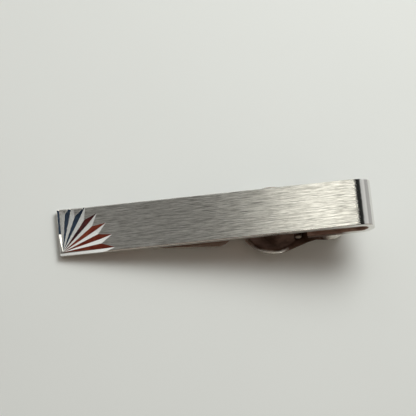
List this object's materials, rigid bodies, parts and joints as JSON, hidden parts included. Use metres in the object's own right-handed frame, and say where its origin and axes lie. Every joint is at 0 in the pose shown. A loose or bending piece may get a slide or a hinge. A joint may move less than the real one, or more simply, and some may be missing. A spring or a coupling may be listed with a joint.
{
  "type": "tie bar",
  "caption": "Brushed tie bar folded over at one end, with a bright-cut enamelled fan in a corner and a hinged, sprung rear clip.",
  "frame": {"origin": "on the front face of the bar, midway along its overall length and across its width", "axes": "+X along the bar towards the fold, +Y across the bar away from the corner with the fan, +Z out of the front face"},
  "size_m": [0.0572, 0.0128, 0.0096],
  "materials": {
    "bar_metal": "silver-tone plate, brushed along its length, with bright-cut facets and a polished fold",
    "clip_metal": "silver-tone plate, tumbled bright, slightly tarnished inside the bowl",
    "pin_metal": "plain drawn steel, peened ends",
    "spring_steel": "spring wire, satin",
    "red_enamel": "thin translucent lacquer over metal, gloss",
    "maroon_enamel": "thin dark lacquer over metal, gloss",
    "navy_enamel": "thin translucent lacquer over metal, gloss"
  },
  "bodies": {
    "bar": {"front_bar": "bar_metal", "hinge_bracket": "clip_metal", "hinge_pin": "pin_metal", "torsion_spring": "spring_steel", "enamel_ray_1": "red_enamel", "enamel_ray_2": "red_enamel", "enamel_ray_3": "red_enamel", "enamel_ray_4": "maroon_enamel", "enamel_ray_5": "navy_enamel", "enamel_ray_6": "navy_enamel", "enamel_ray_7": "navy_enamel"},
    "lever": {"rear_lever": "clip_metal"}
  },
  "joints": [
    {"name": "lever_hinge", "type": "hinge", "parent": "bar", "child": "lever", "pos_m": [0.0146, 0, -0.0049], "axis": [0, -1, 0], "range_deg": [0, 14], "stiffness_Nm_per_rad": 0.01, "springref_deg": -17.19, "deforming": ["torsion_spring"]}
  ]
}
